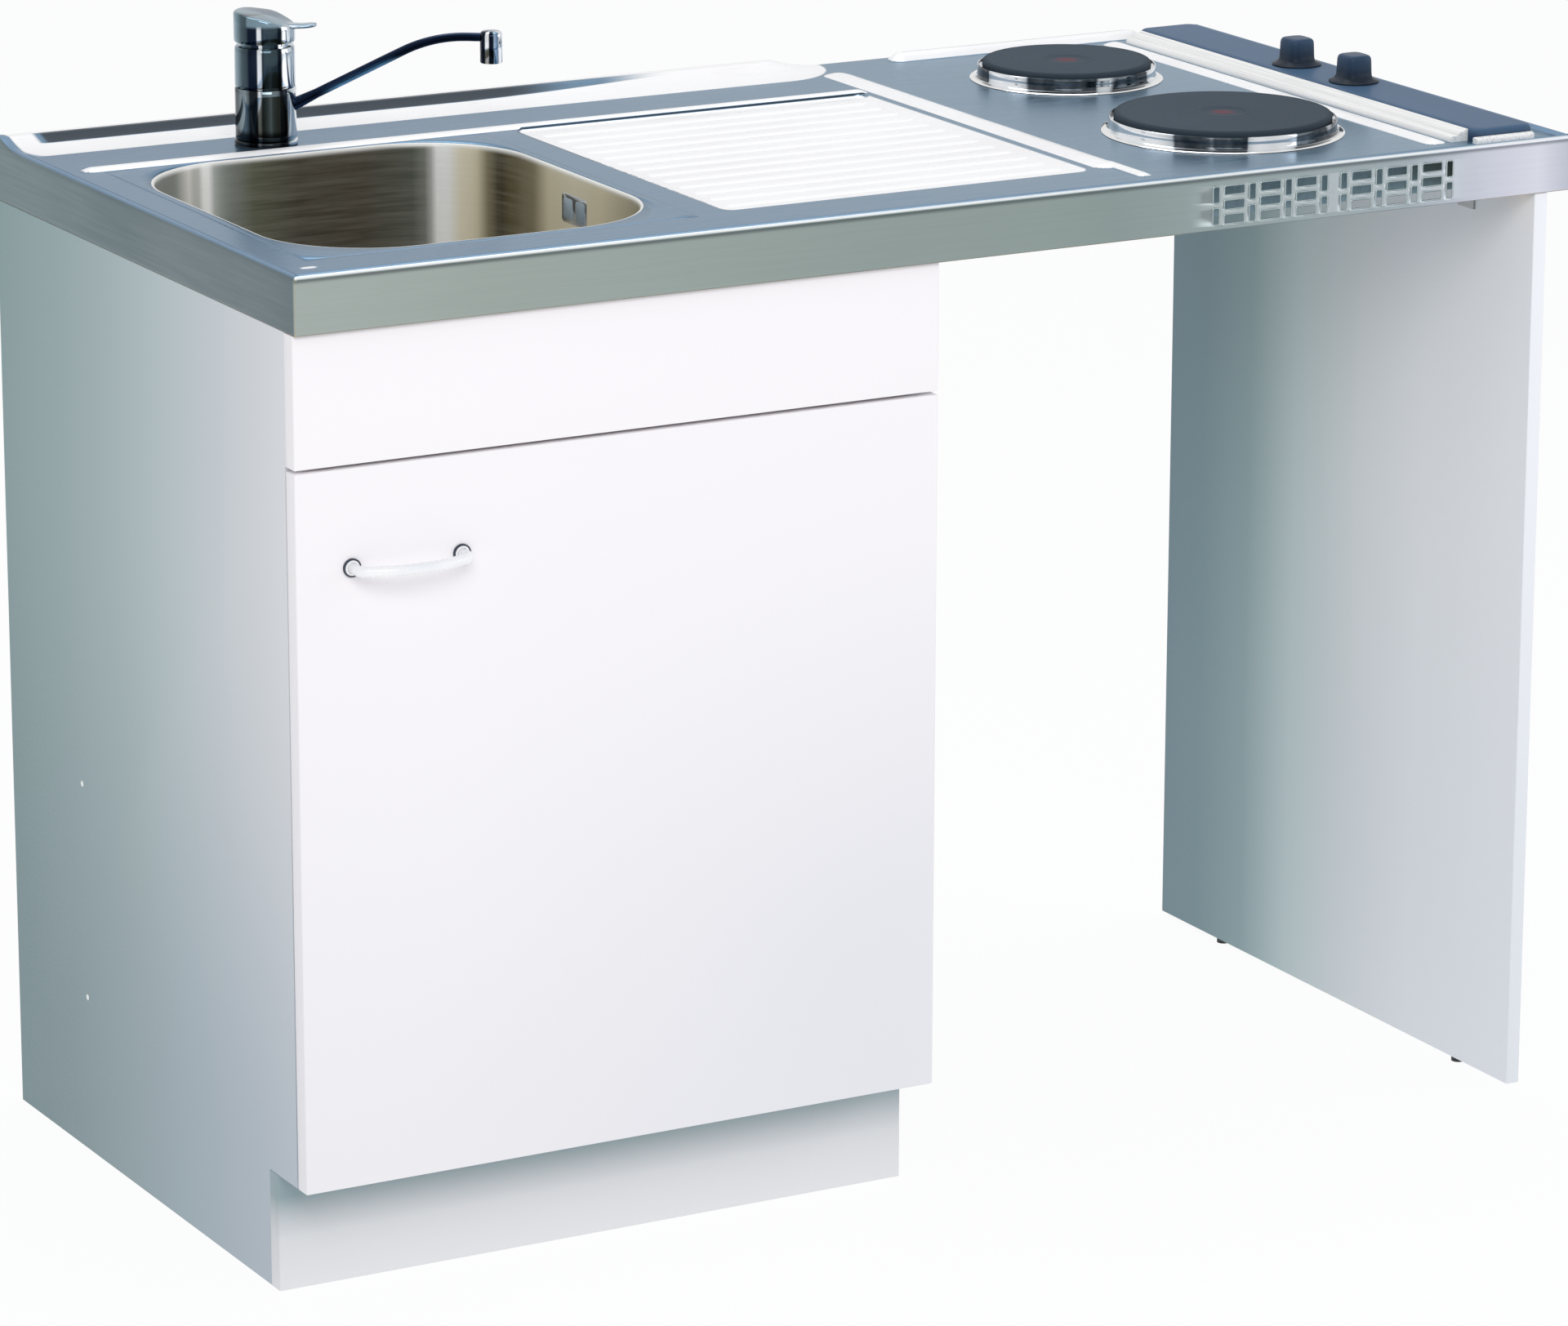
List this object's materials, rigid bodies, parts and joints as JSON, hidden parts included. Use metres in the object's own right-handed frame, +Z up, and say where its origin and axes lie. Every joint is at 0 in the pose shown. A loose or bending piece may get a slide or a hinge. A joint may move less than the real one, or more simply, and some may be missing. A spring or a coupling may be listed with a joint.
{
  "type": "sink base cabinet",
  "caption": "White sink base cabinet under a stainless worktop with bowl, drainer, mixer tap, two hotplates, switch console and an open appliance bay.",
  "frame": {"origin": "on the floor, under the middle of the whole outline", "axes": "+Z up, +X along the worktop to the hob end, -Y out of the front, +Y to the wall"},
  "size_m": [1.2, 0.6272, 0.9641],
  "materials": {
    "white_board": "satin",
    "white_front": "satin",
    "hardboard": "matte",
    "beech": "matte",
    "batten_wood": "matte",
    "white_plastic": "satin",
    "white_gloss": "gloss",
    "black_plastic": "matte",
    "black_rubber": "matte",
    "clear_rubber": "satin",
    "zinc_steel": "satin",
    "stainless_deck": "satin",
    "stainless_bowl": "satin",
    "polished_steel": "polished",
    "chrome": "mirror",
    "brass": "satin",
    "cast_iron": "matte",
    "ceramic": "matte",
    "console_plastic": "satin",
    "switch_plastic": "matte"
  },
  "bodies": {
    "cabinet": {"side_panel_left": "white_board", "side_panel_right": "white_board", "bottom_panel": "white_board", "back_panel": "hardboard", "rear_rail": "white_board", "apron": "white_front", "plinth_board": "white_board", "carcass_dowels": "beech", "side_plugs": "white_plastic", "apron_brackets": "zinc_steel", "worktop_sheet": "stainless_deck", "worktop_fascia": "stainless_deck", "front_batten": "batten_wood", "rear_batten": "batten_wood", "cross_battens": "batten_wood", "worktop_sink_end": "stainless_deck", "bowl_base": "stainless_bowl", "sink_bowl": "stainless_bowl", "overflow_plate": "polished_steel", "overflow_chamber": "black_plastic", "waste_cup": "polished_steel", "waste_body": "white_plastic", "hotplate_front": "cast_iron", "hotplate_rear": "cast_iron", "plate_rings": "chrome", "clamp_bars": "zinc_steel", "clamp_nuts": "zinc_steel", "terminal_blocks": "ceramic", "hob_tray": "zinc_steel", "hob_cover": "zinc_steel", "cable_gland": "black_plastic", "console_cover": "console_plastic", "console_trim": "polished_steel", "switch_bodies": "switch_plastic", "tap_body": "chrome", "tap_seal": "black_rubber", "tap_nut": "brass", "hinge_frame_leaves": "zinc_steel", "hinge_pins": "zinc_steel", "catch_body": "white_plastic", "door_bumpers": "clear_rubber", "end_panel": "white_board", "panel_glides": "black_plastic", "panel_plates": "zinc_steel"},
    "door": {"door": "white_front", "handle": "white_gloss", "handle_rosettes": "white_gloss", "handle_screws": "zinc_steel", "hinge_door_leaves": "zinc_steel", "catch_plate": "zinc_steel"},
    "spout": {"spout": "chrome", "aerator": "chrome"},
    "lever_base": {"lever_carrier": "brass"},
    "lever": {"lever": "chrome"},
    "front_knob": {"front_knob": "console_plastic", "front_shaft": "brass"},
    "rear_knob": {"rear_knob": "console_plastic", "rear_shaft": "brass"},
    "strainer": {"strainer_basket": "polished_steel"}
  },
  "joints": [
    {"name": "door_swing", "type": "hinge", "parent": "cabinet", "child": "door", "pos_m": [-0.018, -0.26418, 0.397], "axis": [0, 0, 1], "range_deg": [0, 110]},
    {"name": "spout_swivel", "type": "hinge", "parent": "cabinet", "child": "spout", "pos_m": [-0.392, 0.21657, 0.877], "axis": [0, 0, 1], "range_deg": [-125, 55]},
    {"name": "lever_turn", "type": "hinge", "parent": "cabinet", "child": "lever_base", "pos_m": [-0.392, 0.21657, 0.935], "axis": [0, 0, 1], "range_deg": [-45, 45]},
    {"name": "lever_lift", "type": "hinge", "parent": "lever_base", "child": "lever", "pos_m": [-0.40511, 0.22575, 0.9441], "axis": [-0.5736, -0.8192, 0], "range_deg": [0, 18]},
    {"name": "front_knob_turn", "type": "hinge", "parent": "cabinet", "child": "front_knob", "pos_m": [0.543, -0.03143, 0.87], "axis": [0, 0, 1], "continuous": true},
    {"name": "rear_knob_turn", "type": "hinge", "parent": "cabinet", "child": "rear_knob", "pos_m": [0.543, 0.06057, 0.87], "axis": [0, 0, 1], "continuous": true},
    {"name": "strainer_lift", "type": "slide", "parent": "cabinet", "child": "strainer", "axis": [0, 0, 1], "range_m": [0, 0.12]}
  ]
}
